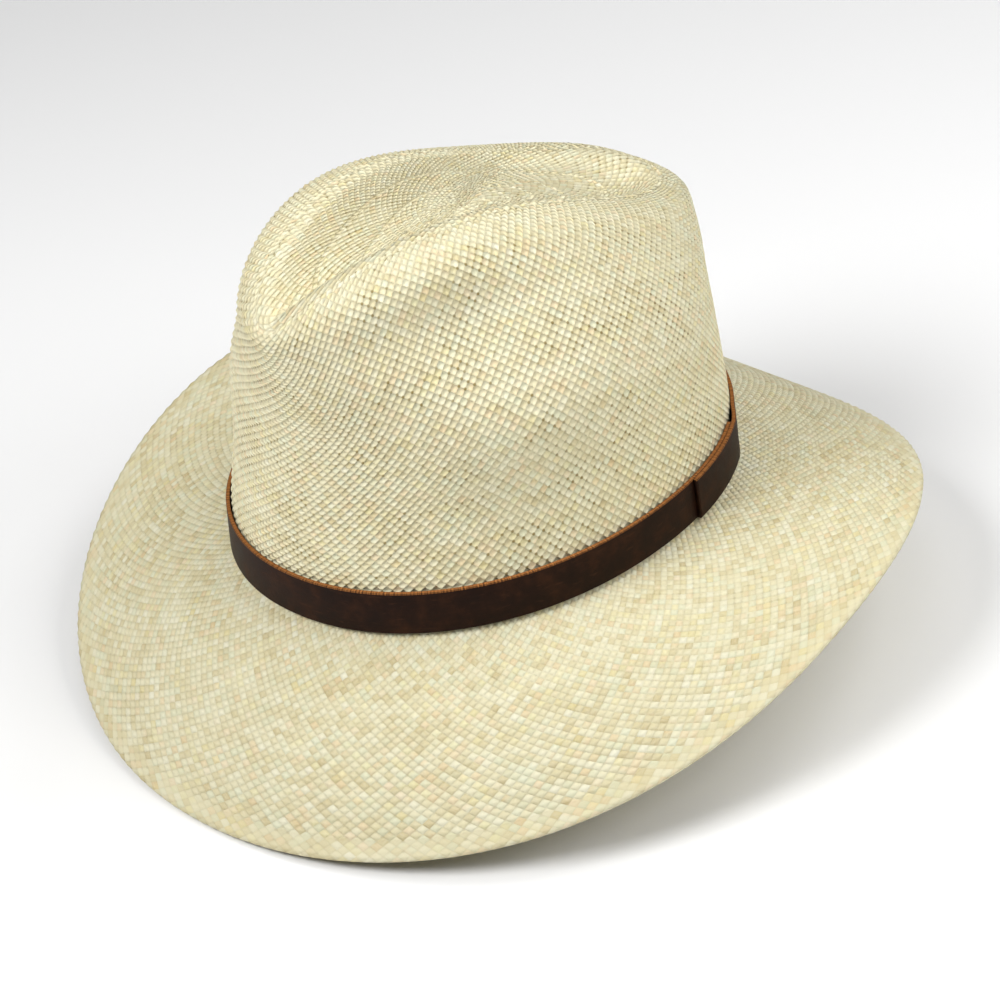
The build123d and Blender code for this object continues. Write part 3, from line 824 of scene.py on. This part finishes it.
def label():
    """Plain blank woven label, sewn flat, a little curved with the sweatband."""
    cols, rows_n = 24, 12
    verts, faces = [], []
    middle = SWEATBAND_FOOT + LABEL_MIDDLE
    face_out = sweatband_face(LABEL_ANGLE, LABEL_MIDDLE / SWEATBAND_HEIGHT) - SWEATBAND_LEATHER
    for layer, depth in enumerate((-0.32, -0.72)):
        for r in range(rows_n + 1):
            for c in range(cols + 1):
                a = LABEL_ANGLE + (c / cols - 0.5) * LABEL_WIDTH / 88.0
                curl = 0.0 if layer else 0.10 * sin(pi * c / cols) * sin(pi * r / rows_n)
                p = off_wall(np.array(a), face_out + depth + curl,
                             middle + (r / rows_n - 0.5) * LABEL_HEIGHT)
                verts.append(tuple(p * MM))
    w, count = cols + 1, (cols + 1) * (rows_n + 1)
    for layer in (0, 1):
        for r in range(rows_n):
            for c in range(cols):
                i = layer * count + r * w + c
                quad = (i, i + 1, i + w + 1, i + w)
                faces.append(quad if layer else quad[::-1])
    rim = [r * w for r in range(rows_n + 1)] + [rows_n * w + c for c in range(1, w)]
    rim += [r * w + cols for r in range(rows_n - 1, -1, -1)] + [c for c in range(cols - 1, 0, -1)]
    for k in range(len(rim)):
        a, b = rim[k], rim[(k + 1) % len(rim)]
        faces.append((a, b, b + count, a + count))
    mesh = bpy.data.meshes.new("blank_label")
    mesh.from_pydata(verts, [], faces)
    layer = mesh.uv_layers.new(name="ribbon")
    for loop in mesh.loops:
        i = loop.vertex_index % count
        layer.data[loop.index].uv = ((i % w) / cols * LABEL_WIDTH * MM, (i // w) / rows_n * LABEL_HEIGHT * MM)
    mesh.update()
    mesh.polygons.foreach_set("use_smooth", [True] * len(mesh.polygons))
    obj = bpy.data.objects.new("blank_label", mesh)
    bpy.context.scene.collection.objects.link(obj)
    fix_outside(obj)
    return obj


# ---------------------------------------------------------------- put together

def dress(obj, material, body="hat", replaces=()):
    obj.data.materials.clear()
    obj.data.materials.append(material)
    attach(obj, body)
    if replaces:
        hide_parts(*replaces)


dress(weave_crown(), straw_finish("crown_straw", 0.0, 900.0), replaces=("straw_body",))
dress(weave_brim(), straw_finish("brim_straw", 1.0, 72.0), replaces=("straw_body",))

strap = leather_strap()
dress(strap, band_leather_finish(), body="band", replaces=("hat_band",))

soft = soft_leather_finish("tan_sweatband_leather", (0.33, 0.19, 0.095), (0.44, 0.27, 0.14))
dress(sweatband_piece(), soft, replaces=("sweatband",))

brown_ribbon = ribbon_finish("brown_ribbon", (0.045, 0.022, 0.012), (0.12, 0.065, 0.035))
for part in bow():
    dress(part, brown_ribbon, replaces=("sweatband_bow",))
dress(label(), ribbon_finish("cream_label", (0.62, 0.58, 0.47), (0.82, 0.79, 0.68), 9000.0),
      replaces=("size_label",))

thread = thread_finish("cream_thread", (0.50, 0.42, 0.28), (0.78, 0.70, 0.52))
reed = thread_finish("reed_cloth", (0.34, 0.27, 0.17), (0.60, 0.51, 0.36))
kept_nodes = {"sweatband_stitches": thread, "sweatband_seam_stitches": thread, "sweatband_reed": reed}
for node, finish in kept_nodes.items():
    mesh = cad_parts[node].data
    mesh.materials.clear()
    mesh.materials.append(finish)

# ---------------------------------------------------------------- floor, light, camera

low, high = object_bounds()
bpy.ops.object.select_all(action="DESELECT")
bpy.ops.mesh.primitive_plane_add(size=8.0, location=(0, 0, low[2] - 0.0005))
floor = bpy.context.object
floor.name = "studio_floor"
paper = Finish("white_paper", roughness=0.9, specular=0.1)
grain = paper.noise(paper.add("ShaderNodeTexCoord", output=3), 3.0)
pale, paler = colour(0.88, 0.88, 0.88), colour(0.93, 0.93, 0.93)
floor.data.materials.append(paper.wear(Base_Color=paper.mix(grain * 0.1, paler, pale)))


def soft_light(name, place, size, power):
    data = bpy.data.lights.new(name, "AREA")
    data.shape, data.size, data.energy = "DISK", size, power
    lamp = bpy.data.objects.new(name, data)
    bpy.context.scene.collection.objects.link(lamp)
    aim = (Vector((0, 0, 0.03)) - Vector(place)).to_track_quat("-Z", "Y")
    lamp.matrix_world = Matrix.Translation(place) @ aim.to_matrix().to_4x4()


# camera: from the wearer's front left, a little above
AZIMUTH, HEIGHT_ANGLE, ROLL = radians(47.6), radians(33.2), radians(-8.15)
DISTANCE, LENS, AIM = 1.3, 121.2, Vector((0, 0, 0.0022))
back = Vector((sin(AZIMUTH) * cos(HEIGHT_ANGLE), -cos(AZIMUTH) * cos(HEIGHT_ANGLE), sin(HEIGHT_ANGLE)))
right = Vector((cos(AZIMUTH), sin(AZIMUTH), 0))
up = back.cross(right)
right, up = right * cos(ROLL) + up * sin(ROLL), -right * sin(ROLL) + up * cos(ROLL)
lens = bpy.data.cameras.new("view")
lens.lens, lens.sensor_width, lens.shift_x, lens.shift_y = LENS, 36.0, 0.0162, -0.0232
lens.clip_start, lens.clip_end = 0.05, 50.0
camera = bpy.data.objects.new("view", lens)
bpy.context.scene.collection.objects.link(camera)
turn = Matrix((right, up, back)).transposed()
camera.matrix_world = Matrix.Translation(AIM + back * DISTANCE) @ turn.to_4x4()
bpy.context.scene.camera = camera


def seen_from(side, above, away):
    """A place in the room, given as seen from the camera."""
    return AIM + right * side + up * above + back * away


soft_light("left_front", seen_from(-0.95, 0.55, 1.0), 0.8, 17.4)
soft_light("right_front", seen_from(0.95, 0.55, 1.0), 0.8, 8.4)
soft_light("high_right", seen_from(0.8, 1.2, 0.4), 0.8, 8.1)
soft_light("high_front", seen_from(0.0, 1.25, 0.75), 0.8, 2.8)

world = bpy.data.worlds.new("studio")
world.use_nodes = True
world.node_tree.nodes["Background"].inputs[0].default_value = (1, 1, 1, 1)
world.node_tree.nodes["Background"].inputs[1].default_value = 0.06
bpy.context.scene.world = world
bpy.context.scene.view_settings.view_transform = "Standard"
